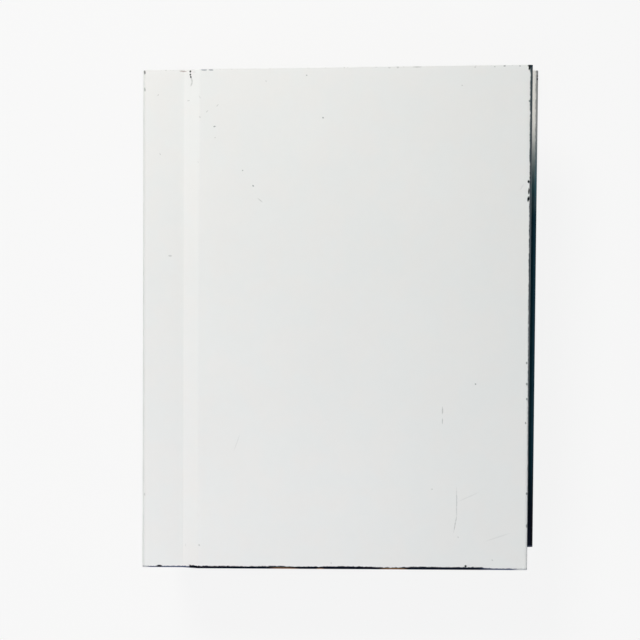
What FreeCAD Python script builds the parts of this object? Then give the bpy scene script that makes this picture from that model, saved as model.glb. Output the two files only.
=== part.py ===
import FreeCAD, Part
import math
import os

# Cut piece of a tongue-and-groove ceiling panel: two roll-formed steel sheets on a mineral wool core.
# X runs across the panel, from the tongue to the groove. Y runs along the roll-formed edges.
# Z is the thickness. The rear sheet lies at Z = 0, and the origin is under the middle of the piece.

# Overall sizes, in millimetres
panel_thickness = 75.0      # over the two flat faces
piece_length = 239.5        # from saw cut to saw cut, along the tongue edge
face_width = 158.0          # full-thickness face, from the top of the step to the edge of the lip
sheet_gauge = 0.5           # coated steel strip

# Saw cuts, a little off square: how far each one has run towards +Y when it reaches the groove edge
near_cut_rise = 3.8
far_cut_rise = 2.9

# Tongue edge
lap_width = 20.0            # recessed band that the neighbour's lip covers
step_run = 8.0              # width of the slope between the band and the face
flange_leg = 12.0           # leg turned down the side of the tongue, from the band
tongue_bend_radius = 1.5    # outside radius of that turn
step_bend_radius = 1.2      # inside radius of the two bends of the step

# Groove edge
hem_radius = 1.4            # outside radius of the rolled edge of a lip
hem_leg = 12.0              # straight leg that the roll folds back inside the lip

# Clearances of the joint with the next panel
lap_clearance = 0.2         # between a folded lip and the band that it covers
tongue_end_gap = 1.5        # between the end of the tongue and the core that it faces

# Sizes that follow from them
hem_thickness = 2 * hem_radius
band_drop = hem_thickness + lap_clearance
overall_width = lap_width + step_run + face_width
overall_length = piece_length + far_cut_rise
groove_depth = lap_width + tongue_end_gap
core_face = overall_width - groove_depth
saw_overrun = 5.0           # how far a saw cut, or an uncut strip, is drawn past the piece


def skin_corners():
    """Sharp corners of the front sheet's outside, as (x, z, radius), from flange to hem."""
    band = panel_thickness - band_drop
    face = panel_thickness
    hem_inside = face - hem_thickness
    return [
        (0.0, band - flange_leg, 0.0),
        (0.0, band, tongue_bend_radius),
        (lap_width, band, step_bend_radius),
        (lap_width + step_run, face, step_bend_radius + sheet_gauge),
        (overall_width, face, hem_radius),
        (overall_width, hem_inside, hem_radius),
        (overall_width - hem_radius - hem_leg, hem_inside, 0.0),
    ]


def unit(start, end):
    """Direction from one corner to the next."""
    length = math.hypot(end[0] - start[0], end[1] - start[1])
    return (end[0] - start[0]) / length, (end[1] - start[1]) / length


def shifted_inward(corners, distance):
    """Same line of corners, moved to the right of its travel, with every bend kept concentric."""
    moved = []
    last = len(corners) - 1
    for index, corner in enumerate(corners):
        before = unit(corners[max(index - 1, 0)], corners[max(index, 1)])
        after = unit(corners[min(index, last - 1)], corners[min(index + 1, last)])
        # The mitre of two shifted runs lies on the bisector of their right-hand normals.
        normal_x = before[1] + after[1]
        normal_z = -before[0] - after[0]
        mitre = distance / (0.5 * (normal_x ** 2 + normal_z ** 2))
        turn = before[0] * after[1] - before[1] * after[0]
        radius = corner[2] + math.copysign(distance, turn) if corner[2] > 0 else 0.0
        moved.append((corner[0] + mitre * normal_x, corner[1] + mitre * normal_z, radius))
    return moved


def mirrored(corners):
    """Line of corners as the rear half of the panel has it, travelled the other way."""
    return [(x, panel_thickness - z, radius) for x, z, radius in reversed(corners)]


def placed(x, y, z):
    """Point measured from the near corner of the tongue, moved to the part's own origin."""
    return FreeCAD.Vector(x - overall_width / 2, y - overall_length / 2, z)


def section_point(x, z):
    """Point of the cross-section, where the strip starts before the near saw cut."""
    return placed(x, -saw_overrun, z)


def bend_points(before, corner, after):
    """Start, middle and end of the arc that rounds a corner."""
    x, z, radius = corner
    into = unit(before, corner)
    out = unit(corner, after)
    half_turn = math.acos(max(-1.0, min(1.0, into[0] * out[0] + into[1] * out[1]))) / 2
    setback = radius * math.tan(half_turn)
    start = (x - setback * into[0], z - setback * into[1])
    end = (x + setback * out[0], z + setback * out[1])
    # The arc's middle lies between the corner and its centre, on the bisector.
    reach = radius / math.cos(half_turn) - radius
    bisector = unit(corner, ((start[0] + end[0]) / 2, (start[1] + end[1]) / 2))
    middle = (x + reach * bisector[0], z + reach * bisector[1])
    return start, middle, end


def section_face(corners):
    """Flat face inside a closed line of corners, each rounded to its radius."""
    edges = []
    pen = None
    count = len(corners)
    for index in range(count + 1):
        before, corner, after = (corners[(index + step) % count] for step in (-1, 0, 1))
        if corner[2] > 0:
            start, middle, end = bend_points(before, corner, after)
        else:
            start = middle = end = corner[:2]
        if pen is not None and math.dist(pen, start) > 1e-6:
            edges.append(Part.LineSegment(section_point(*pen), section_point(*start)).toShape())
        if corner[2] > 0 and index < count:
            arc = Part.Arc(section_point(*start), section_point(*middle), section_point(*end))
            edges.append(arc.toShape())
        pen = end
    return Part.Face(Part.Wire(Part.__sortEdges__(edges)))


def cut_points(y_at_tongue, rise):
    """Ends of one saw cut, drawn straight across the panel and past both of its edges."""
    slope = rise / overall_width
    ends = (-saw_overrun, overall_width + saw_overrun)
    return [placed(x, y_at_tongue + slope * x, 0) for x in ends]


def between_saw_cuts():
    """Block of the full thickness whose two ends are the saw cuts."""
    near = cut_points(0, near_cut_rise)
    far = cut_points(piece_length, far_cut_rise)
    outline = Part.makePolygon([near[0], near[1], far[1], far[0], near[0]])
    return Part.Face(outline).extrude(FreeCAD.Vector(0, 0, panel_thickness))


def extruded(corners):
    """Solid of one cross-section, run out along Y and sawn off at both ends."""
    uncut_length = overall_length + 2 * saw_overrun
    uncut = section_face(corners).extrude(FreeCAD.Vector(0, uncut_length, 0))
    return uncut.common(between_saw_cuts()).Solids[0]


def front_sheet():
    """Outside line of the sheet one way, and its inside line back."""
    outside = skin_corners()
    inside = shifted_inward(outside, sheet_gauge)
    return extruded(outside + inside[::-1])


def rear_sheet():
    """Same sheet turned over onto the other face of the core."""
    outside = mirrored(skin_corners())
    inside = mirrored(shifted_inward(skin_corners(), sheet_gauge))
    return extruded(outside + inside[::-1])


def core():
    """Wool block bonded between the sheets, which stops short of the lips to leave the groove."""
    inside = shifted_inward(skin_corners(), sheet_gauge)
    tongue_bend, step_foot, step_top = inside[1:4]
    front_half = [tongue_bend, step_foot, step_top, (core_face, panel_thickness - sheet_gauge, 0.0)]
    return extruded(front_half + mirrored(front_half))


def write(name, shape):
    """Check one piece and write it to its own file."""
    assert shape.isValid() and len(shape.Solids) == 1, name
    shape.exportStep("parts/" + name + ".step")
    print(name, "volume %.1f cm3" % (shape.Volume / 1000), shape.BoundBox)


os.makedirs("parts", exist_ok=True)
write("front_sheet", front_sheet())
write("rear_sheet", rear_sheet())
write("core", core())
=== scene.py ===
# %% [markdown]
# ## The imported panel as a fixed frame
# The panel's construction is settled before its looks: two roll-formed steel sheets on a wool core, in
# metres, lying on the rear sheet. Loading it first means that every piece made below goes where the
# real one is, and nothing has to be fitted afterwards.

# %% Load the frame
import math
import random

import bmesh
import bpy
from mathutils import Euler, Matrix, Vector, noise


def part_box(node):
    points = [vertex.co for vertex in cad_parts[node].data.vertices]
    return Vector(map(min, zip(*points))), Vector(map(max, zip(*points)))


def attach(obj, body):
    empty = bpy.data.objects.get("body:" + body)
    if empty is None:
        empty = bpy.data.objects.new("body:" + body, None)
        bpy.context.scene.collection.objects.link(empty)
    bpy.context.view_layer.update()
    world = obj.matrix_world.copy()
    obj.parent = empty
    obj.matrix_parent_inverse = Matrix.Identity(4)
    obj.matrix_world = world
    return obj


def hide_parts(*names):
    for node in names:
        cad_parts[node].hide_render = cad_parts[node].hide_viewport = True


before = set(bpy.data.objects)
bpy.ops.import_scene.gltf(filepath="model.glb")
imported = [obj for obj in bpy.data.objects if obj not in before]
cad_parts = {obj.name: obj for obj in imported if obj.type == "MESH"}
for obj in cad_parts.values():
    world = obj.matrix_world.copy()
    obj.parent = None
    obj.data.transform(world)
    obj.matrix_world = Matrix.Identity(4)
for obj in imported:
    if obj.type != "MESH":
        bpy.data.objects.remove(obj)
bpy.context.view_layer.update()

front_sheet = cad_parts["front_sheet"]
rear_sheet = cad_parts["rear_sheet"]
scene = bpy.context.scene
scene.view_settings.view_transform = "Standard"

# %% [markdown]
# ## Measures that the looks follow
# A finish changes at real places: paint stops at the saw cuts, and the wool ends at the groove. Reading
# those places from the frame keeps the finish on the part. The sheet's gauge, step and fold can't be
# read from a box, so the part's own values are repeated. The saw cuts are a little off square, so each
# is kept as a line: where it starts and how steeply it rises.

# %% Read the sheet's edges and saw cuts
MM = 0.001
tongue_side, _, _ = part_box("front_sheet")[0]
lip_edge, _, face_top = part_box("front_sheet")[1]
middle_height = face_top / 2
core_low, core_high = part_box("core")
SHEET_GAUGE = 0.5 * MM
LAP_WIDTH = 20 * MM
STEP_RUN = 8 * MM
BAND_DROP = 3 * MM
FOLD_RADIUS = 1.4 * MM
step_foot = tongue_side + LAP_WIDTH
band_height = face_top - BAND_DROP
SIDE_TOLERANCE = 0.05 * MM


def saw_cut(farther):
    """One saw cut as (y where x is 0, rise for each metre of x), from the sheet's own corners."""
    ends = []
    for side in (tongue_side, lip_edge):
        column = [v.co.y for v in front_sheet.data.vertices if abs(v.co.x - side) < SIDE_TOLERANCE]
        ends.append(max(column) if farther else min(column))
    rise = (ends[1] - ends[0]) / (lip_edge - tongue_side)
    return ends[0] - rise * tongue_side, rise


near_cut = saw_cut(farther=False)
far_cut = saw_cut(farther=True)
print("near cut at", round(near_cut[0] / MM, 2), "mm, slope", round(near_cut[1], 4))
print("far cut at", round(far_cut[0] / MM, 2), "mm, slope", round(far_cut[1], 4))

# %% [markdown]
# ## The camera
# The photograph was taken from a little over a metre, from above the panel's upper right. The face's
# four corners and the rear lip, which looks smaller because it is farther away, fix the place and the
# focal length. The camera comes first because the marks on the paint are placed through it.

# %% Make the camera
PHOTO_SIZE = 640
SENSOR_WIDTH = 36.0
FOCAL_PIXELS = 2500.0
TILT_DEGREES = (-3.584, 6.933, 0.376)
CLIP_END = 30.0
camera_place = Vector((136.3, 75.4, 1253.9)) * MM
camera_turn = Euler([math.radians(angle) for angle in TILT_DEGREES], "XYZ")

camera_data = bpy.data.cameras.new("camera")
camera_data.sensor_width = SENSOR_WIDTH
camera_data.lens = FOCAL_PIXELS / PHOTO_SIZE * SENSOR_WIDTH
camera_data.clip_end = CLIP_END
camera = bpy.data.objects.new("camera", camera_data)
camera.location = camera_place
camera.rotation_euler = camera_turn
scene.collection.objects.link(camera)
scene.camera = camera
print("lens in mm:", round(camera_data.lens, 1))

# %% [markdown]
# ## Short calls for node materials
# Every finish here is worked out by nodes. They could be placed by hand in the shader editor, but a
# recipe in code is easier to read and to change. One helper adds a node, sets its values and joins its
# inputs, so each line of a material below is one step of its recipe.


# %% Node helpers
class Recipe:
    """One node tree, with short calls for the nodes that the finishes use."""

    def __init__(self, tree):
        self.tree = tree

    def put(self, socket, value):
        """Set a socket, or link it when the value is itself a socket."""
        if isinstance(value, bpy.types.NodeSocket):
            self.tree.links.new(value, socket)
        else:
            socket.default_value = value

    def add(self, kind, inputs=(), **settings):
        """Add a node. inputs maps a socket's name or number to a value or to another socket."""
        node = self.tree.nodes.new(kind)
        for name, value in settings.items():
            setattr(node, name, value)
        for key, value in dict(inputs).items():
            self.put(node.inputs[key], value)
        return node

    def math(self, operation, first, second=0.0, third=0.0):
        """A Math node's result."""
        inputs = {0: first, 1: second, 2: third}
        return self.add("ShaderNodeMath", inputs, operation=operation).outputs[0]

    def vector(self, operation, first, second=(0, 0, 0), scale=1.0):
        """A Vector Math node's outputs: 0 is the vector, and "Value" is a length."""
        inputs = {0: first, 1: second, 3: scale}
        return self.add("ShaderNodeVectorMath", inputs, operation=operation).outputs

    def passage(self, value, low, high, at_low=0.0, at_high=1.0):
        """A smooth passage from at_low to at_high while the value goes from low to high."""
        inputs = {"Value": value, "From Min": low, "From Max": high, "To Min": at_low, "To Max": at_high}
        return self.add("ShaderNodeMapRange", inputs, interpolation_type="SMOOTHSTEP").outputs["Result"]

    def mix(self, factor, first, second):
        """Two colours mixed by a factor. The Mix node keeps its colours in sockets 6 and 7."""
        return self.add("ShaderNodeMix", {0: factor, 6: first, 7: second}, data_type="RGBA").outputs[2]

    def noise(self, place, scale, detail=2.0, roughness=0.5):
        """Noise around one half, with so many waves to the metre."""
        inputs = {"Vector": place, "Scale": scale, "Detail": detail, "Roughness": roughness}
        return self.add("ShaderNodeTexNoise", inputs).outputs["Fac"]

    def split(self, vector):
        """The three parts of a vector."""
        return self.add("ShaderNodeSeparateXYZ", {0: vector}).outputs

    def flattened(self, place):
        """A place seen straight from above, with its height taken away."""
        return self.vector("MULTIPLY", place, (1, 1, 0))[0]

    def place(self):
        """The point's own place on the panel, in metres."""
        return self.add("ShaderNodeTexCoord").outputs["Object"]

    def facing(self):
        """The direction that the surface itself faces."""
        return self.split(self.add("ShaderNodeNewGeometry").outputs["True Normal"])


def new_material(name):
    """A material with an empty tree: the material, its recipe and its Principled shader."""
    material = bpy.data.materials.new(name)
    material.use_nodes = True
    material.node_tree.nodes.clear()
    recipe = Recipe(material.node_tree)
    output = recipe.add("ShaderNodeOutputMaterial")
    shader = recipe.add("ShaderNodeBsdfPrincipled")
    recipe.put(output.inputs["Surface"], shader.outputs[0])
    return material, recipe, shader


print("helpers ready")

# %% [markdown]
# ## Marks on the paint
# The sample has been handled: the photograph shows chips on its edges, specks and hairline scratches.
# They could be cut into the mesh, but the coat is only a few hundredths of a millimetre thick, so they
# belong to the finish. Each mark is a slim ellipse between two points of the photograph. The camera's
# own ray carries each point onto the sheet, so a mark sits on the real surface, seen from any side. A
# material can hold only so many values at once, so a mark is made of as few nodes as will do.


# %% Carry a point of the photograph onto the sheet
def along_ray(pixel, height):
    """Where the camera's ray through a point of the photograph reaches a height above the floor."""
    ray = Vector((pixel[0] - PHOTO_SIZE / 2, PHOTO_SIZE / 2 - pixel[1], -FOCAL_PIXELS))
    ray.rotate(camera_turn)
    return camera_place + ray * ((height - camera_place.z) / ray.z)


def on_sheet(pixel):
    """The same on the front sheet, whose band, on the tongue's side of the step, lies lower."""
    point = along_ray(pixel, face_top)
    return point if point.x > step_foot else along_ray(pixel, band_height)


def on_rear_lip(pixel):
    """The same on the rear sheet's folded lip, seen past the front one."""
    return along_ray(pixel, 2 * FOLD_RADIUS)


LEFT_COLUMN = 200
RIGHT_COLUMN = 500
left, right = (on_sheet((column, PHOTO_SIZE / 2)) for column in (LEFT_COLUMN, RIGHT_COLUMN))
pixel_size = (right - left).length / (RIGHT_COLUMN - LEFT_COLUMN)
print("one pixel of the photograph is", round(pixel_size / MM, 3), "mm on the face")

# %% List the marks, as start, end and half width in the photograph's pixels
CHIPS = {
    "corner by the band": ((144.5, 70.9), (144.8, 73.9), 1.05),
    "top of the step": ((189.6, 70.6), (189.7, 72.0), 1.0),
    "second on the step": ((189.6, 73.8), (189.7, 75.0), 0.9),
    "third on the step": ((190.1, 76.2), (190.3, 77.6), 0.9),
    "corner by the groove": ((528.6, 65.7), (532.0, 65.4), 1.6),
    "under that corner": ((529.7, 66.0), (529.5, 69.6), 1.2),
    "lip, first": ((528.6, 180.6), (528.7, 182.8), 1.1),
    "lip, second": ((529.0, 188.2), (528.7, 194.0), 0.8),
    "lip, third": ((528.8, 196.8), (528.0, 201.2), 1.2),
    "near cut, middle": ((464.8, 566.2), (466.3, 566.2), 1.1),
}
SPECKS = {
    "band, upper": ((157.6, 95.4), (158.8, 94.5), 0.55),
    "band, middle": ((159.7, 153.4), (160.7, 154.8), 0.45),
    "band edge, low": ((144.5, 493.0), (144.6, 495.5), 0.7),
    "band, dash": ((168.6, 255.9), (171.6, 255.8), 0.8),
    "step, short": ((186.6, 100.7), (188.9, 100.4), 0.48),
    "step, long": ((198.9, 95.6), (200.5, 98.3), 0.26),
    "face, dash": ((216.3, 106.3), (218.6, 104.4), 0.4),
    "face, second": ((206.2, 112.2), (208.0, 110.6), 0.4),
    "step foot": ((199.0, 116.7), (200.6, 117.4), 0.5),
    "face, fourth": ((214.6, 137.5), (215.6, 137.7), 0.36),
    "face, fifth": ((197.6, 161.8), (198.4, 162.3), 0.4),
    "far cut, middle": ((388.4, 67.7), (390.4, 67.7), 0.5),
    "far cut, right of it": ((397.2, 67.3), (398.6, 67.3), 1.0),
    "far cut, long": ((413.0, 67.0), (421.2, 66.9), 0.6),
    "far cut, near the lip": ((474.6, 67.2), (475.8, 67.1), 0.5),
    "top left": ((265.6, 80.8), (266.6, 81.3), 0.5),
    "top right": ((461.6, 85.0), (462.6, 85.5), 0.45),
    "low middle": ((330.6, 562.9), (331.6, 563.3), 0.6),
    "low left": ((198.8, 544.8), (199.5, 545.4), 0.8),
    "right, low": ((431.6, 488.9), (432.6, 489.4), 0.6),
    "right, lower": ((457.6, 536.9), (458.6, 537.4), 0.6),
    "right, lowest": ((491.8, 559.9), (492.8, 560.4), 0.6),
    "beside the step": ((190.9, 78.0), (191.8, 82.6), 0.8),
    "under it": ((191.7, 82.0), (190.2, 86.0), 0.8),
}
NICKS = {
    "band edge": ((144.7, 87.9), (144.9, 91.2), 0.8),
    "face, darker": ((213.6, 126.5), (215.4, 126.4), 0.7),
    "face, sixth": ((242.2, 170.2), (243.0, 170.7), 0.5),
    "face, seventh": ((252.7, 185.4), (253.6, 186.3), 0.75),
    "face, eighth": ((322.4, 117.6), (323.5, 118.0), 0.7),
    "right middle": ((475.2, 383.8), (475.8, 384.4), 0.8),
    "top middle": ((306.1, 75.1), (307.0, 75.4), 0.5),
    "lip, top": ((529.3, 100.4), (529.4, 101.6), 0.8),
    "lip, upper": ((526.7, 362.2), (526.9, 363.9), 0.9),
    "lip, middle": ((526.8, 383.2), (526.9, 384.9), 0.9),
    "lip, lower": ((526.8, 398.2), (526.9, 399.9), 0.9),
    "lip, low": ((525.5, 422.2), (525.7, 424.0), 0.7),
    "lip, near the end": ((526.7, 492.9), (526.8, 494.7), 0.9),
    "lip, at the end": ((526.8, 524.8), (526.9, 527.4), 1.0),
    "far cut, first": ((494.3, 66.7), (495.3, 66.7), 0.36),
    "far cut, second": ((503.8, 65.9), (505.4, 65.9), 0.6),
    "far cut, third": ((519.4, 66.0), (520.6, 65.9), 0.48),
}
SCRATCHES = {
    "upper": ((257.8, 198.4), (262.4, 202.1), 0.5),
    "right, first": ((442.5, 407.0), (442.5, 414.0), 0.6),
    "right, second": ((442.4, 418.0), (442.4, 424.0), 0.5),
    "right, long": ((456.7, 488.0), (456.7, 517.0), 0.42),
    "right, bent end": ((456.7, 516.0), (453.7, 532.0), 0.55),
}
FAINT_SCRATCHES = {
    "left": ((234.0, 450.5), (239.6, 435.2), 0.5),
    "right of the long one": ((459.0, 501.2), (478.0, 492.7), 0.5),
    "low right": ((486.5, 540.9), (509.5, 533.4), 0.65),
    "beside the lip": ((520.5, 189.5), (523.5, 184.5), 0.8),
    "step, at the far cut": ((192.0, 72.0), (195.6, 72.0), 0.7),
    "band, near the cut": ((184.6, 544.6), (184.8, 547.0), 0.7),
}
BROWN_STAINS = {
    "band, at the far cut": ((182.0, 71.3), (183.4, 71.2), 0.57),
    "step, at the near cut": ((188.6, 565.6), (190.2, 566.0), 0.8),
}
SINGED_STREAKS = {
    "on the far cut": ((201.4, 69.5), (206.6, 69.7), 1.2),
    "farther right": ((209.0, 69.8), (213.0, 70.0), 0.85),
}
DARK_SPOTS_ON_CUT = {
    "near cut, by the step": ((157.0, 565.75), (161.8, 565.85), 1.15),
}
RUST_ON_CUT = {
    "left": ((271.0, 568.2), (297.0, 568.5), 0.75),
    "middle": ((317.0, 568.6), (323.5, 568.7), 0.6),
    "right": ((381.0, 569.0), (406.0, 569.1), 0.8),
}
REAR_LIP_CHIPS = {
    "upper": ((537.9, 75.6), (537.8, 76.4), 0.8),
    "lower": ((537.5, 78.6), (537.4, 79.6), 0.9),
}
ALL_MARKS = (CHIPS, SPECKS, NICKS, SCRATCHES, FAINT_SCRATCHES, BROWN_STAINS, SINGED_STREAKS,
             DARK_SPOTS_ON_CUT, RUST_ON_CUT, REAR_LIP_CHIPS)
print("marks:", sum(len(marks) for marks in ALL_MARKS))

# %% Turn a list of marks into a cover between 0 and 1
# Both are shares of a mark's half width: full colour up to the first, and none beyond the second.
MARK_CORE = 0.6
MARK_REACH = 1.3


def cover_of(recipe, place, marks, carried=on_sheet):
    """How far any mark of the list covers a place. Each is a fading ball in its own squeezed space."""
    strongest = None
    for start_pixel, end_pixel, half_width in marks.values():
        start = carried(start_pixel)
        end = carried(end_pixel)
        middle = (start + end) / 2
        width = half_width * pixel_size
        length = (end - start).length / 2 + width / 2
        turn = math.atan2(end.y - start.y, end.x - start.x)
        inputs = {"Vector": place, "Location": (middle.x, middle.y, 0), "Rotation": (0, 0, turn),
                  "Scale": (MARK_REACH * length, MARK_REACH * width, 1)}
        squeezed = {"Vector": recipe.add("ShaderNodeMapping", inputs, vector_type="TEXTURE").outputs[0]}
        ball = recipe.add("ShaderNodeTexGradient", squeezed, gradient_type="SPHERICAL").outputs["Fac"]
        strongest = ball if strongest is None else recipe.math("MAXIMUM", strongest, ball)
    return recipe.passage(strongest, 0.0, 1 - MARK_CORE / MARK_REACH)


print("a mark is solid to", MARK_CORE, "and gone at", MARK_REACH, "of its half width")

# %% [markdown]
# ## The coil coating
# Such sheet is painted as a flat coil before it is formed: a satin polyester coat with the faint orange
# peel that a roller leaves. A picture of paint would show its pixels up close, so the coat is worked out
# by nodes on the two sheets' own solids. Noise at about a millimetre makes the peel, and slower noise
# lets the white drift by a shade. The marks are laid over that, each kind in its own colour.

# %% Colours of the coat and of what lies under it
COOL_WHITE = (0.801, 0.813, 0.808, 1)
WARM_WHITE = (0.809, 0.811, 0.802, 1)
BACK_COAT = (0.30, 0.33, 0.32, 1)
BARE_STEEL = (0.30, 0.31, 0.32, 1)
BRIGHT_STEEL = (0.52, 0.53, 0.55, 1)
NEAR_BLACK = (0.004, 0.005, 0.009, 1)
DARK_BLUE = (0.06, 0.075, 0.13, 1)
# Painted shade: teal, and nearly black, on the lips' rolled edges and on the rear lip's rim.
PAINTED_TEAL = (0.03, 0.148, 0.19, 1)
PAINTED_SHADE = (0.004, 0.022, 0.034, 1)
CHIPPED = (0.004, 0.006, 0.007, 1)
NICKED = (0.05, 0.08, 0.08, 1)
SCUFFED = (0.20, 0.22, 0.21, 1)
SCRATCHED = (0.28, 0.30, 0.30, 1)
# Grey for painted shade on the tongue's bend.
BEND_SHADE_GREY = (0.62, 0.64, 0.63, 1)
STAINED = (0.20, 0.10, 0.09, 1)
RUST = (0.24, 0.11, 0.03, 1)
print("white of the coat:", COOL_WHITE[:3], "to", WARM_WHITE[:3])

# %% Marks on the outside of the front sheet
WOBBLE = 0.4 * MM
WOBBLE_WAVES = 1500
LEAST_UPWARD = 0.05


def laid_over(recipe, place, facing, layers, colour):
    """The colour with every layer of marks over it, on the outside of the sheet alone."""
    flat = recipe.flattened(place)
    outside = recipe.math("GREATER_THAN", facing["Z"], LEAST_UPWARD)
    for marks, strength, tint in layers:
        cover = recipe.math("MULTIPLY", cover_of(recipe, flat, marks), strength)
        colour = recipe.mix(recipe.math("MULTIPLY", cover, outside), colour, tint)
    return colour


def with_marks(recipe, place, facing, colour):
    """The coat's colour with every chip, speck, scratch and stain laid over it, a little ragged."""
    inputs = {"Vector": place, "Scale": WOBBLE_WAVES, "Detail": 2.0}
    wobble = recipe.add("ShaderNodeTexNoise", inputs).outputs["Color"]
    ragged = recipe.vector("SUBTRACT", wobble, (0.5, 0.5, 0.5))[0]
    moved = recipe.vector("ADD", place, recipe.vector("SCALE", ragged, scale=WOBBLE)[0])[0]
    skips = recipe.passage(recipe.noise(place, 1100, detail=1), 0.36, 0.52, 0.25, 0.50)
    layers = (
        (SPECKS, 0.36, SCUFFED),
        (FAINT_SCRATCHES, 0.14, SCRATCHED),
        (SCRATCHES, skips, SCRATCHED),
        (BROWN_STAINS, 0.65, STAINED),
        (SINGED_STREAKS, 0.6, DARK_BLUE),
        (NICKS, 0.65, NICKED),
        (CHIPS, 1.0, CHIPPED),
    )
    return laid_over(recipe, moved, facing, layers, colour)


def with_marks_on_cut(recipe, place, facing, colour):
    """A dark spot and the rusty stretches, over the dark line along the near cut."""
    layers = ((DARK_SPOTS_ON_CUT, 1.0, NEAR_BLACK), (RUST_ON_CUT, 0.75, RUST))
    return laid_over(recipe, place, facing, layers, colour)


print("marks wander by up to", round(WOBBLE / 2 / MM, 2), "mm")

# %% [markdown]
# ## Where the coat ends, and painted shade on the edges
# The saw left bare metal on both cut ends, and a dark, ragged line along the near one. The rolled edge
# of both lips is darkened by painted shade. So is the outer part of the rear lip, where the front lip
# casts its shadow: a painted shadow, teal, and darkest towards the near cut. Such darkening could be
# painted onto a picture by hand, but each kind follows an edge of the sheet. So it is worked out from
# the distance to that edge, with noise to make its border ragged, and it holds from every side. Where it
# grows or fades along the edge is read at points of the photograph.


# %% Where the painted shade and the near cut's dark line grow or fade, from points of the photograph
def across_panel(*pixels):
    """Points on the front sheet, as distances across the panel."""
    return [on_sheet(pixel).x for pixel in pixels]


def along_front_lip(*pixels):
    """Points on the front lip, as distances along the panel."""
    return [on_sheet(pixel).y for pixel in pixels]


def along_rear_lip(*pixels):
    """Points on the rear lip, as distances along the panel."""
    return [on_rear_lip(pixel).y for pixel in pixels]


line_starts = across_panel((145, 568), (151, 568))
black_fades = across_panel((476, 568), (498, 568))
line_ends = across_panel((510, 568), (521, 568))
lip_shade_spreads = along_front_lip((527, 560), (527, 230))
lip_shade_thickens = along_front_lip((529, 230), (529, 110))
# Where the painted shadow on the rear lip grows, from teal through nearly black to black.
teal_shade_starts = along_rear_lip((533, 196), (533, 118))
dark_shade_starts = along_rear_lip((533, 220), (533, 174))
black_shade_starts = along_rear_lip((530, 525), (530, 430))
print("line on the near cut, x in mm:", [round(x / MM, 1) for x in line_starts + line_ends])
print("painted shade on the rear lip, y in mm:", [round(y / MM, 1) for y in black_shade_starts + teal_shade_starts])

# %% Back of the sheet, and painted shade on the bend
BEND_SHADE_WIDTH = 2.2 * MM
BEND_SHADE_SHARE = 0.45


def with_back_coat(recipe, parts, colour):
    """Grey back coat inside the folded lip, which lies within reach of the fold's middle line."""
    fold_x = lip_edge - FOLD_RADIUS
    fold_height = middle_height - FOLD_RADIUS
    past_fold = recipe.math("MAXIMUM", recipe.math("SUBTRACT", parts["X"], fold_x), 0.0)
    from_middle = recipe.math("ABSOLUTE", recipe.math("SUBTRACT", parts["Z"], middle_height))
    off_line = recipe.math("SUBTRACT", from_middle, fold_height)
    corner = recipe.add("ShaderNodeCombineXYZ", {"X": past_fold, "Y": off_line}).outputs[0]
    reach = recipe.vector("LENGTH", corner)["Value"]
    inside = recipe.math("LESS_THAN", reach, FOLD_RADIUS - SHEET_GAUGE / 2)
    in_lip = recipe.math("GREATER_THAN", parts["X"], core_high.x)
    return recipe.mix(recipe.math("MULTIPLY", inside, in_lip), colour, BACK_COAT)


def with_painted_bend_shade(recipe, parts, colour):
    """Painted shade: a greyer coat on the bend at the tongue's outer edge, to darken that bend."""
    bend_shade = recipe.passage(parts["X"], tongue_side, tongue_side + BEND_SHADE_WIDTH, BEND_SHADE_SHARE, 0.0)
    return recipe.mix(bend_shade, colour, BEND_SHADE_GREY)


print("painted bend shade:", round(BEND_SHADE_WIDTH / MM, 1), "mm wide")

# %% Painted shade on the rolled edges
LIP_SHADE_AT_NEAR_END = 0.14 * MM
LIP_SHADE_AT_FAR_END = 0.85 * MM
LIP_SHADE_AT_FAR_CORNER = 0.28 * MM
FRONT_LIP_SHADE = 0.97
REAR_LIP_SHADE = 0.60


def with_painted_lip_shade(recipe, place, parts, facing, strength, colour):
    """Painted shade, nearly black, on the outermost part of the rolled edge, wider towards the far end.
    """
    ragged = recipe.math("MULTIPLY_ADD", recipe.noise(place, 500, detail=3), 0.9, 0.55)
    from_edge = recipe.math("SUBTRACT", lip_edge, parts["X"])
    wide = recipe.passage(parts["Y"], *lip_shade_spreads, LIP_SHADE_AT_NEAR_END, LIP_SHADE_AT_FAR_END)
    wider = recipe.passage(parts["Y"], *lip_shade_thickens, 0.0, LIP_SHADE_AT_FAR_CORNER)
    reach = recipe.math("MULTIPLY", ragged, recipe.math("ADD", wide, wider))
    lip_shade = recipe.passage(recipe.math("DIVIDE", from_edge, reach), 0.7, 1.2, strength, 0.0)
    upward = recipe.passage(facing["Z"], -0.25, 0.05)
    return recipe.mix(recipe.math("MULTIPLY", lip_shade, upward), colour, PAINTED_SHADE)


print("painted lip shade grows from", round(LIP_SHADE_AT_NEAR_END / MM, 2), "to", round(LIP_SHADE_AT_FAR_END / MM, 2), "mm")

# %% Painted shadow on the rear lip's rim
RIM_SHADE_BEGINS = 7 * MM
RIM_SHADE_IS_FULL = 3.5 * MM
RIM_SHADE_WANDERS = 5 * MM


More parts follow.
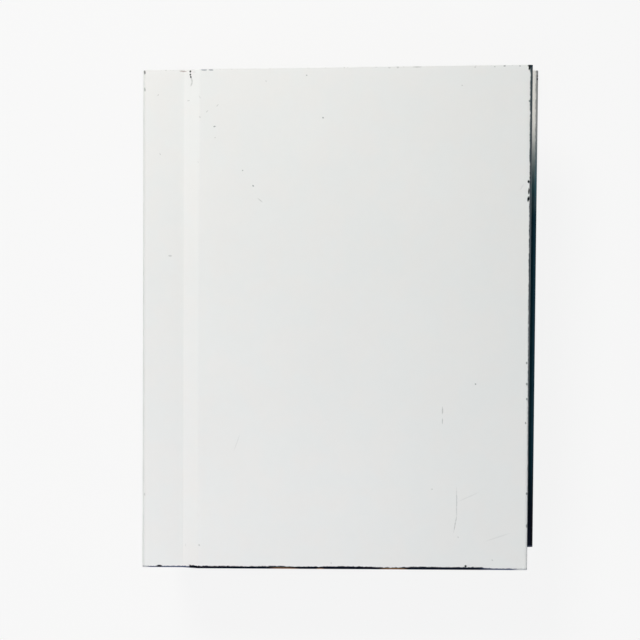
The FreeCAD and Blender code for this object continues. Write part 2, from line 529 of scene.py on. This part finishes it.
def with_painted_rim_shade(recipe, place, parts, colour):
    """Painted shadow on the outer rim of the rear lip: teal, then black towards the near cut, none at
    the far end.
    """
    drift = recipe.math("MULTIPLY_ADD", recipe.noise(place, 160, detail=3), 0.06, -0.03)
    teal_shade = recipe.passage(parts["Y"], *teal_shade_starts, 1.0, 0.0)
    dark_shade = recipe.passage(parts["Y"], *dark_shade_starts, 0.99, 0.0)
    black_shade = recipe.passage(parts["Y"], *black_shade_starts, 1.0, 0.0)
    dark_shade = recipe.math("MULTIPLY_ADD", dark_shade, drift, dark_shade)
    wander = recipe.noise(place, 300, detail=4)
    ragged = recipe.math("MULTIPLY_ADD", wander, RIM_SHADE_WANDERS, -RIM_SHADE_WANDERS / 2)
    across = recipe.math("ADD", parts["X"], ragged)
    rim = recipe.passage(across, lip_edge - RIM_SHADE_BEGINS, lip_edge - RIM_SHADE_IS_FULL)
    on_top = recipe.math("COMPARE", parts["Z"], 2 * FOLD_RADIUS, FOLD_RADIUS)
    shaded_rim = recipe.math("MULTIPLY", rim, on_top)
    # Painted shadow of the front lip, in three steps: teal, nearly black, and black near the cut.
    colour = recipe.mix(recipe.math("MULTIPLY", teal_shade, shaded_rim), colour, PAINTED_TEAL)
    colour = recipe.mix(recipe.math("MULTIPLY", dark_shade, shaded_rim), colour, PAINTED_SHADE)
    return recipe.mix(recipe.math("MULTIPLY", black_shade, shaded_rim), colour, NEAR_BLACK)


print("painted rim shade begins", round(RIM_SHADE_BEGINS / MM, 1), "mm from the rear lip's edge")

# %% Saw cuts
NEAR_LINE_WIDTH = 0.85 * MM
EXTRA_BLACK = 0.50 * MM
BLACK_SOFTNESS = 1 * MM
FAR_NICK_DEPTH = 0.5 * MM


def from_cut(recipe, parts, cut, inward):
    """Distance from a saw cut into the piece, in metres."""
    start, rise = cut
    line = recipe.math("MULTIPLY_ADD", parts["X"], rise, start)
    return recipe.math("MULTIPLY", recipe.math("SUBTRACT", parts["Y"], line), inward)


def with_saw_cuts(recipe, place, parts, sawn, colour):
    """A dark line along the near cut, small nicks at the far one, and bare steel on both cut ends."""
    ragged = recipe.noise(place, 900, detail=4, roughness=0.65)
    slow = recipe.noise(place, 45)
    middle_of_step = step_foot + STEP_RUN / 2
    on_face = recipe.passage(parts["X"], middle_of_step - BLACK_SOFTNESS, middle_of_step)
    black_part = recipe.math("MULTIPLY", on_face, recipe.passage(parts["X"], *black_fades, 1.0, 0.0))
    width = recipe.math("MULTIPLY_ADD", black_part, EXTRA_BLACK, NEAR_LINE_WIDTH)
    reach = recipe.math("MULTIPLY", recipe.math("ADD", ragged, slow), width)
    near = recipe.math("DIVIDE", from_cut(recipe, parts, near_cut, 1), reach)
    # A dark line along the near cut, blackest under the face.
    dark = recipe.mix(black_part, DARK_BLUE, NEAR_BLACK)
    line = recipe.passage(near, 0.8, 1.0, 1.0, 0.0)
    line = recipe.math("MULTIPLY", line, recipe.passage(parts["X"], *line_starts, 0.5, 1.0))
    line = recipe.math("MULTIPLY", line, recipe.passage(parts["X"], *line_ends, 1.0, 0.4))
    colour = recipe.mix(line, colour, dark)
    nick = recipe.math("MULTIPLY", recipe.passage(ragged, 0.55, 0.75), FAR_NICK_DEPTH)
    nicked = recipe.math("LESS_THAN", from_cut(recipe, parts, far_cut, -1), nick)
    colour = recipe.mix(recipe.math("MULTIPLY", nicked, 0.35), colour, SCUFFED)
    saw_marks = recipe.noise(recipe.vector("MULTIPLY", place, (1, 1, 0.05))[0], 6000)
    steel = recipe.mix(recipe.passage(saw_marks, 0.35, 0.65), BARE_STEEL, BRIGHT_STEEL)
    return recipe.mix(sawn, colour, steel)


print("near cut is dark up to", round((NEAR_LINE_WIDTH + EXTRA_BLACK) / MM, 2), "mm in on the face")

# %% [markdown]
# ## Putting the coat together
# The layers could each be a material of their own, but one colour that passes through them in turn keeps
# their borders soft. They are white paint, marks and wear, painted shade on the edges, and last the saw
# cut with its dark line and rusty spots. Where the colour ends up nearly black, on chips, in the painted
# shade and on the near cut's line, the surface counts as metal, because the gloss of paint would lie
# over the black as a grey veil.

# %% The whole coat
PEEL_WAVES = 700
PEEL_DEPTH = 0.02 * MM
ALL_METAL_TONE = 0.015
NO_METAL_TONE = 0.05


def coil_coat(name, front):
    """White coil coating on a sheet, with bare metal where the coat ends."""
    material, recipe, shader = new_material(name)
    place = recipe.place()
    parts = recipe.split(place)
    facing = recipe.facing()
    cloud = recipe.noise(place, 220, detail=3)
    drift = recipe.math("MULTIPLY_ADD", recipe.noise(place, 18, detail=3), 0.03, 0.975)
    shade = recipe.math("MULTIPLY_ADD", cloud, 0.015, drift)
    warmth = recipe.passage(recipe.noise(place, 75, detail=2), 0.35, 0.65)
    colour = recipe.vector("SCALE", recipe.mix(warmth, COOL_WHITE, WARM_WHITE), scale=shade)[0]
    if front:
        colour = with_marks(recipe, place, facing, colour)
    sawn = recipe.math("GREATER_THAN", recipe.math("ABSOLUTE", facing["Y"]), 0.9)
    colour = with_back_coat(recipe, parts, colour)
    # Painted shade on the tongue's outer bend.
    colour = with_painted_bend_shade(recipe, parts, colour)
    # Painted shade on the lip's rolled edge, stronger on the front sheet.
    lip_shade = FRONT_LIP_SHADE if front else REAR_LIP_SHADE
    colour = with_painted_lip_shade(recipe, place, parts, facing, lip_shade, colour)
    if not front:
        chipped = cover_of(recipe, recipe.flattened(place), REAR_LIP_CHIPS, on_rear_lip)
        colour = recipe.mix(chipped, colour, CHIPPED)
        colour = with_painted_rim_shade(recipe, place, parts, colour)
    colour = with_saw_cuts(recipe, place, parts, sawn, colour)
    if front:
        colour = with_marks_on_cut(recipe, place, facing, colour)
    recipe.put(shader.inputs["Base Color"], colour)
    recipe.put(shader.inputs["Roughness"], recipe.math("MULTIPLY_ADD", cloud, 0.10, 0.36))
    # Nearly black colour, painted shade included, counts as metal, which takes the gloss off it.
    tone = recipe.add("ShaderNodeRGBToBW", {0: colour}).outputs[0]
    nearly_black = recipe.passage(tone, ALL_METAL_TONE, NO_METAL_TONE, 1.0, 0.0)
    cut_metal = recipe.math("MULTIPLY", sawn, 0.8)
    recipe.put(shader.inputs["Metallic"], recipe.math("MAXIMUM", nearly_black, cut_metal))
    shader.inputs["Specular IOR Level"].default_value = 0.35
    peel = {"Height": recipe.noise(place, PEEL_WAVES), "Strength": 0.35, "Distance": PEEL_DEPTH}
    recipe.put(shader.inputs["Normal"], recipe.add("ShaderNodeBump", peel).outputs[0])
    return material


for sheet, name in ((front_sheet, "front_coil_coat"), (rear_sheet, "rear_coil_coat")):
    finish = coil_coat(name, front=sheet is front_sheet)
    sheet.data.materials.clear()
    sheet.data.materials.append(finish)
    print(name, "has", len(finish.node_tree.nodes), "nodes")

# %% [markdown]
# ## Wool core
# The core is stone wool, in lamellas set on edge so that the fibres run from sheet to sheet. A saw tears
# such wool a little: the cut is matt and furrowed along the fibres, and stands back between the sheets.
# A flat face with a picture of wool would look printed, so the block is made as a fine grid and each
# point of an open side is pushed inwards by layered noise. The finer fuzz is left to the material.

# %% The core's own outline
GRID = 1.5 * MM
core_corners = sorted((v.co.x, v.co.z - middle_height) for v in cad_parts["core"].data.vertices)
core_outline = [corner for corner in core_corners if corner[1] > 0]


def core_height(x):
    """Half the core's thickness at a distance across the panel, from the corners of the CAD core."""
    for (x0, z0), (x1, z1) in zip(core_outline, core_outline[1:]):
        if x0 <= x <= x1 and x1 > x0:
            return z0 + (z1 - z0) * (x - x0) / (x1 - x0)
    return core_outline[-1][1]


across = max(2, round((core_high.x - core_low.x) / GRID))
through = max(2, round((core_high.z - core_low.z) / GRID))
along = max(2, round((core_high.y - core_low.y) / GRID))
columns = [core_low.x + (core_high.x - core_low.x) * i / across for i in range(across + 1)]
half_heights = [core_height(x) for x in columns]
print("wool grid:", across, "by", along, "by", through)

# %% Torn surface
TEAR_DEPTH = 1.3 * MM
FURROWS = (420, 45)
CLUMPS = (90, 60)
GRIT = (1500, 500)


def waves(place, counts, shift=0):
    """Where noise is read for so many waves to the metre, across the fibres and along them."""
    x, y, z = place
    across_fibres, along_fibres = counts
    return Vector((x * across_fibres, y * across_fibres, z * along_fibres + shift))


def tear(place):
    """How far the saw tore the wool inwards here: furrows along the fibres, clumps and a little grit."""
    furrow = noise.fractal(waves(place, FURROWS), 0.6, 2.0, 3)
    clump = noise.noise(waves(place, CLUMPS, shift=7))
    grit = noise.noise(waves(place, GRIT, shift=3))
    depth = 0.45 + 0.45 * furrow + 0.30 * clump + 0.12 * grit
    return TEAR_DEPTH * min(max(depth, 0.05), 1.0)


def wool_point(i, j, k):
    """One point of the grid: i across the panel, j along it and k through its thickness."""
    x = columns[i]
    near, far = (start + rise * x for start, rise in (near_cut, far_cut))
    y = near + (far - near) * j / along
    z = middle_height + half_heights[i] * (2 * k / through - 1)
    # The glue holds the wool next to the sheets, so the tear is shallow there.
    from_sheet = min(k, through - k) / through
    depth = tear((x, y, z)) * min(1.0, 0.25 + 12 * from_sheet)
    if i in (0, across):
        x += depth if i == 0 else -depth
    if j in (0, along):
        y += depth if j == 0 else -depth
    return x, y, z


print("the saw tears the wool up to", round(TEAR_DEPTH / MM, 1), "mm deep")


# %% Make the block
def wool_block():
    """Closed grid over all six sides of the core, with the same point wherever two sides meet."""
    points = {}
    shell = bmesh.new()

    def corner(i, j, k):
        if (i, j, k) not in points:
            points[i, j, k] = shell.verts.new(wool_point(i, j, k))
        return points[i, j, k]

    def patch(first_count, second_count, at, turned):
        for a in range(first_count):
            for b in range(second_count):
                around = (at(a, b), at(a + 1, b), at(a + 1, b + 1), at(a, b + 1))
                ring = [corner(*spot) for spot in around]
                face = shell.faces.new(ring[::-1] if turned else ring)
                face.smooth = True

    patch(across, through, lambda a, b: (a, 0, b), False)
    patch(across, through, lambda a, b: (a, along, b), True)
    patch(along, through, lambda a, b: (0, a, b), True)
    patch(along, through, lambda a, b: (across, a, b), False)
    patch(across, along, lambda a, b: (a, b, 0), True)
    patch(across, along, lambda a, b: (a, b, through), False)
    mesh = bpy.data.meshes.new("wool_core")
    shell.to_mesh(mesh)
    shell.free()
    block = bpy.data.objects.new("wool_core", mesh)
    scene.collection.objects.link(block)
    return block


wool_core = wool_block()
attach(wool_core, "root")
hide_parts("core")
print("wool block:", len(wool_core.data.polygons), "faces")

# %% [markdown]
# ## Loose fibres
# A sawn wool face always has stray fibres lying on it. Hair curves would do, but they don't travel to
# other programs, so each fibre is a thin three-sided thread in one joined mesh, closed at both ends.
# All of them lie close to the torn face and stay between the sheets. The random numbers have a fixed
# seed, so every run gives the same threads.

# %% Lay a fibre on an open side
FIBRE_STEPS = 4
ALONG_A_SIDE = (0.02, 0.98)
THROUGH_A_SIDE = (0.04, 0.96)
FIBRE_LEAN = 0.5
FIBRE_WANDER = 0.35
STEP_IN_MM = (0.8, 2.2)
DEPTH_IN_MM = (0.35, 0.9)
DEPTH_WANDER = 0.15
LEAST_DEPTH = 0.15 * MM
MOST_DEPTH = 1.0 * MM
SHEET_MARGIN = 1.0 * MM
chance = random.Random(11)


def fibre_start(side):
    """A random spot on one open side, with the direction that points out of the wool."""
    j, k = chance.uniform(*ALONG_A_SIDE), chance.uniform(*THROUGH_A_SIDE)
    x = core_low.x + (core_high.x - core_low.x) * j
    if side in ("near", "far"):
        start, rise = near_cut if side == "near" else far_cut
        z = middle_height + core_height(x) * (2 * k - 1)
        return Vector((x, start + rise * x, z)), Vector((0, -1 if side == "near" else 1, 0))
    x = core_low.x if side == "tongue" else core_high.x
    z = middle_height + core_height(x) * (2 * k - 1)
    y = near_cut[0] + (far_cut[0] - near_cut[0]) * j
    return Vector((x, y, z)), Vector((-1 if side == "tongue" else 1, 0, 0))


def fibre_path(side):
    """Points of one fibre, which wanders along the face and lifts a little off it."""
    point, outward = fibre_start(side)
    sideways = outward.cross(Vector((0, 0, 1)))
    angle = chance.gauss(math.pi / 2, FIBRE_LEAN)
    step = chance.uniform(*STEP_IN_MM) * MM
    depth = chance.uniform(*DEPTH_IN_MM) * MM
    path = []
    for _ in range(FIBRE_STEPS):
        path.append(point - outward * depth)
        angle += chance.gauss(0, FIBRE_WANDER)
        depth = min(max(depth + chance.gauss(0, DEPTH_WANDER) * MM, LEAST_DEPTH), MOST_DEPTH)
        point = point + (sideways * math.cos(angle) + Vector((0, 0, math.sin(angle)))) * step
    return path


def inside_core(point):
    """Whether a point lies well between the sheets."""
    if not core_low.x < point.x < core_high.x:
        return False
    return abs(point.z - middle_height) < core_height(point.x) - SHEET_MARGIN


print("a fibre is", FIBRE_STEPS - 1, "short runs of", STEP_IN_MM, "mm")

# %% Make the fibres
FIBRE_COUNT = 1500
FIBRE_THICKNESS = 0.09 * MM
FIBRE_SIDES = 3


def thread(tufts, path):
    """One fibre along a path, as a closed thread of three sides."""
    rings = []
    for point in path:
        ring = []
        for corner in range(FIBRE_SIDES):
            turn = 2 * math.pi * corner / FIBRE_SIDES
            offset = Vector((math.cos(turn), math.sin(turn), math.sin(turn + 1))) * FIBRE_THICKNESS / 2
            ring.append(tufts.verts.new(point + offset))
        rings.append(ring)
    for first, second in zip(rings, rings[1:]):
        for corner in range(FIBRE_SIDES):
            following = (corner + 1) % FIBRE_SIDES
            tufts.faces.new((first[corner], first[following], second[following], second[corner]))
    tufts.faces.new(rings[0][::-1])
    tufts.faces.new(rings[-1])


def loose_fibres():
    """All fibres that stay inside the core's outline, as one mesh."""
    tufts = bmesh.new()
    for _ in range(FIBRE_COUNT):
        path = fibre_path(chance.choice(("near", "far", "tongue", "groove")))
        if all(inside_core(point) for point in path):
            thread(tufts, path)
    bmesh.ops.recalc_face_normals(tufts, faces=tufts.faces)
    mesh = bpy.data.meshes.new("wool_fibres")
    tufts.to_mesh(mesh)
    tufts.free()
    fibres = bpy.data.objects.new("wool_fibres", mesh)
    scene.collection.objects.link(fibres)
    return fibres


wool_fibres = loose_fibres()
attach(wool_fibres, "root")
print("fibres:", len(wool_fibres.data.vertices) // (FIBRE_SIDES * FIBRE_STEPS))

# %% [markdown]
# ## Stone wool finish
# Stone wool is olive brown, in bands where the binder and the fibres lie denser. One even noise would
# look like felt, so the noise is stretched: it changes quickly across the fibres and slowly along them,
# from sheet to sheet. A thin yellowish line next to each sheet is the glue that bonds the wool to it.

# %% Wool material
WOOL_DARK = (0.20, 0.17, 0.10, 1)
WOOL_MIDDLE = (0.40, 0.36, 0.25, 1)
WOOL_LIGHT = (0.58, 0.54, 0.40, 1)
GLUE = (0.55, 0.43, 0.20, 1)
LOOSE_PALENESS = 0.55
GLUE_LEAST = 0.4 * MM
GLUE_SOAKS = 1.6 * MM
FUZZ_DEPTH = 0.25 * MM


def with_glue(recipe, place, bands, colour):
    """The wool's colour with the glue line next to each sheet, soaked in deeper where it is loose."""
    parts = recipe.split(place)
    step_top = step_foot + STEP_RUN
    steel = recipe.passage(parts["X"], step_foot, step_top, band_height - middle_height, middle_height)
    from_middle = recipe.math("ABSOLUTE", recipe.math("SUBTRACT", parts["Z"], middle_height))
    depth = recipe.math("SUBTRACT", steel, from_middle)
    soaked = recipe.math("MULTIPLY_ADD", bands, GLUE_SOAKS, GLUE_LEAST)
    glued = recipe.passage(recipe.math("DIVIDE", depth, soaked), 0.7, 1.1, 0.8, 0.0)
    return recipe.mix(glued, colour, GLUE)


def stone_wool(name, loose):
    """Matt, felted stone fibres. Loose ones are paler, because light gets round them."""
    material, recipe, shader = new_material(name)
    place = recipe.place()
    strand_place = recipe.vector("MULTIPLY", place, (1, 1, 0.10))[0]
    band_place = recipe.vector("MULTIPLY", place, (1, 1, 0.35))[0]
    strands = recipe.noise(strand_place, 2600, detail=4, roughness=0.6)
    bands = recipe.noise(band_place, 140, detail=4)
    fuzz = recipe.noise(place, 2200, detail=4, roughness=0.7)
    colour = recipe.mix(recipe.passage(bands, 0.32, 0.68), WOOL_DARK, WOOL_MIDDLE)
    colour = recipe.mix(recipe.passage(strands, 0.40, 0.75), colour, WOOL_LIGHT)
    colour = recipe.mix(recipe.passage(fuzz, 0.50, 0.30), colour, WOOL_DARK)
    if loose:
        colour = recipe.mix(LOOSE_PALENESS, colour, WOOL_LIGHT)
    else:
        colour = with_glue(recipe, place, bands, colour)
    recipe.put(shader.inputs["Base Color"], colour)
    recipe.put(shader.inputs["Roughness"], recipe.math("MULTIPLY_ADD", fuzz, 0.1, 0.88))
    shader.inputs["Specular IOR Level"].default_value = 0.2
    height = recipe.math("ADD", strands, fuzz)
    bump = {"Height": height, "Strength": 0.8, "Distance": FUZZ_DEPTH}
    recipe.put(shader.inputs["Normal"], recipe.add("ShaderNodeBump", bump).outputs[0])
    return material


for piece, name in ((wool_core, "stone_wool"), (wool_fibres, "loose_stone_wool")):
    finish = stone_wool(name, loose=piece is wool_fibres)
    piece.data.materials.append(finish)
    print(name, "has", len(finish.node_tree.nodes), "nodes")

# %% [markdown]
# ## Floor
# The panel lies on a pale floor. More light would make it white, but would wash out the panel too. So
# the floor glows by itself at the background's own tone for the camera and in reflections, which leaves
# the lamps free to light the panel at a plain level. A share of it stays plain paint near the panel, so
# that the panel's shadow still shows.

# %% Make the floor
BACKDROP = 0.93
PAINTED_SHARE = 0.055
LIGHT_ON_FLOOR = 0.85
FLOOR_REACH = 7.0
FLOOR_BOUNCE = (0.26, 0.30, 0.32, 1)
SHADOW_FULL = 0.25
SHADOW_GONE = 0.9


def floor_paint():
    """Paint that glows for the camera and for reflections, and throws back a little bluish light."""
    material, recipe, shader = new_material("floor_paint")
    shader.inputs["Base Color"].default_value = FLOOR_BOUNCE
    shader.inputs["Roughness"].default_value = 0.9
    shader.inputs["Specular IOR Level"].default_value = 0.0
    from_panel = recipe.vector("LENGTH", recipe.place())["Value"]
    share = recipe.passage(from_panel, SHADOW_FULL, SHADOW_GONE, PAINTED_SHARE, 0.0)
    grey = {"Red": share, "Green": share, "Blue": share}
    paint_colour = recipe.add("ShaderNodeCombineColor", grey).outputs[0]
    paint = recipe.add("ShaderNodeBsdfDiffuse", {"Color": paint_colour})
    glow_level = recipe.math("SUBTRACT", BACKDROP, recipe.math("MULTIPLY", share, LIGHT_ON_FLOOR))
    glow = recipe.add("ShaderNodeEmission", {"Strength": glow_level})
    seen = recipe.add("ShaderNodeAddShader", {0: glow.outputs[0], 1: paint.outputs[0]})
    rays = recipe.add("ShaderNodeLightPath").outputs
    direct = recipe.math("MAXIMUM", rays["Is Camera Ray"], rays["Is Glossy Ray"])
    either = recipe.add("ShaderNodeMixShader", {0: direct, 1: shader.outputs[0], 2: seen.outputs[0]})
    output = next(node for node in recipe.tree.nodes if node.type == "OUTPUT_MATERIAL")
    recipe.put(output.inputs["Surface"], either.outputs[0])
    return material


def studio_floor():
    """Large pale floor under the panel."""
    mesh = bpy.data.meshes.new("studio_floor")
    corners = [(x * FLOOR_REACH, y * FLOOR_REACH, 0) for x, y in ((-1, -1), (1, -1), (1, 1), (-1, 1))]
    mesh.from_pydata(corners, [], [(0, 1, 2, 3)])
    mesh.materials.append(floor_paint())
    floor = bpy.data.objects.new("studio_floor", mesh)
    scene.collection.objects.link(floor)
    return floor


floor = studio_floor()
print("floor:", 2 * FLOOR_REACH, "m wide")

# %% [markdown]
# ## Backdrop and the light around
# The world is the backdrop's white for the camera and in reflections, so that the satin coat has
# something pale to mirror. One even world would also light the panel flat from all sides, so it lights
# the rest of the scene weakly and bluish, less from the right and a little more near the horizon.

# %% World
AMBIENT_TINT = (0.86, 0.97, 1.0, 1)
AMBIENT = 0.13
HORIZON = 0.25
DARK_SIDE = 0.05


def studio_world():
    """The backdrop's white for the camera and for reflections, and a low bluish light for the rest."""
    world = bpy.data.worlds.new("studio_world")
    scene.world = world
    world.use_nodes = True
    world.node_tree.nodes.clear()
    recipe = Recipe(world.node_tree)
    output = recipe.add("ShaderNodeOutputWorld")
    direction = recipe.split(recipe.add("ShaderNodeTexCoord").outputs["Generated"])
    right_side = recipe.passage(direction["X"], -0.1, 0.35, 1.0, DARK_SIDE)
    aloft = recipe.math("MULTIPLY", right_side, AMBIENT)
    low = recipe.passage(direction["Z"], 0.15, 0.35, 1.0, 0.0)
    from_horizon = recipe.math("MULTIPLY", low, HORIZON)
    from_aloft = recipe.math("MULTIPLY", recipe.math("SUBTRACT", 1.0, low), aloft)
    level = recipe.math("ADD", from_horizon, from_aloft)
    dim = recipe.add("ShaderNodeBackground", {"Color": AMBIENT_TINT, "Strength": level})
    bright = recipe.add("ShaderNodeBackground", {"Color": (1, 1, 1, 1), "Strength": BACKDROP})
    rays = recipe.add("ShaderNodeLightPath").outputs
    mirrored = recipe.math("MAXIMUM", rays["Is Glossy Ray"], rays["Is Transmission Ray"])
    seen = recipe.math("MAXIMUM", rays["Is Camera Ray"], mirrored)
    either = recipe.add("ShaderNodeMixShader", {0: seen, 1: dim.outputs[0], 2: bright.outputs[0]})
    recipe.put(output.inputs["Surface"], either.outputs[0])


studio_world()
print("world: backdrop", BACKDROP, "and light", AMBIENT)

# %% [markdown]
# ## Lamps
# In the photograph the face is brightest at its upper left and falls off gently towards the right. One
# lamp would give an even face or a spot, so a large soft key lamp does most of the lighting and five
# weak ones shape the fall: one each for the left side, the top, the far edge and the near edge, and a
# low one that lights the lips' rims. The last three would show as bright patches in the satin coat, so
# they aren't mirrored in it.


# %% Make the lamps
def soft_lamp(name, azimuth, elevation, distance, size, power, colour, aim=(0, 0), mirrored=True):
    """A square soft box, turned to a point level with the face. Azimuth goes from +Y towards +X."""
    turn, rise = math.radians(azimuth), math.radians(elevation)
    towards = Vector((math.sin(turn) * math.cos(rise), math.cos(turn) * math.cos(rise), math.sin(rise)))
    data = bpy.data.lights.new(name, "AREA")
    data.energy = power
    data.size = size
    data.color = colour
    lamp = bpy.data.objects.new(name, data)
    lamp.location = towards * distance + Vector((0, 0, face_top))
    lamp.rotation_euler = (lamp.location - Vector((*aim, face_top))).to_track_quat("Z", "Y").to_euler()
    lamp.visible_camera = False
    lamp.visible_glossy = mirrored
    scene.collection.objects.link(lamp)
    print(name, "gives", power, "W from", distance, "m")


BESIDE_THE_PANEL = (-1.2, -1.5)
soft_lamp("key_lamp", azimuth=-20, elevation=54, distance=2.4, size=0.7, power=45,
          colour=(1.0, 0.97, 0.92), aim=BESIDE_THE_PANEL)
soft_lamp("left_lamp", azimuth=-100, elevation=45, distance=0.7, size=0.3, power=0.56,
          colour=(1.0, 0.92, 0.95))
soft_lamp("top_lamp", azimuth=-150, elevation=76, distance=1.6, size=0.5, power=3.0,
          colour=(0.59, 0.84, 1.0))
soft_lamp("far_lamp", azimuth=-20, elevation=15, distance=0.50, size=0.2, power=0.74,
          colour=(1.0, 0.92, 0.83), mirrored=False)
soft_lamp("near_lamp", azimuth=-160, elevation=45, distance=0.30, size=0.15, power=0.095,
          colour=(1.0, 0.85, 0.88), mirrored=False)
soft_lamp("low_lamp", azimuth=135, elevation=4, distance=0.8, size=0.2, power=2.5,
          colour=(0.98, 0.97, 0.98), mirrored=False)
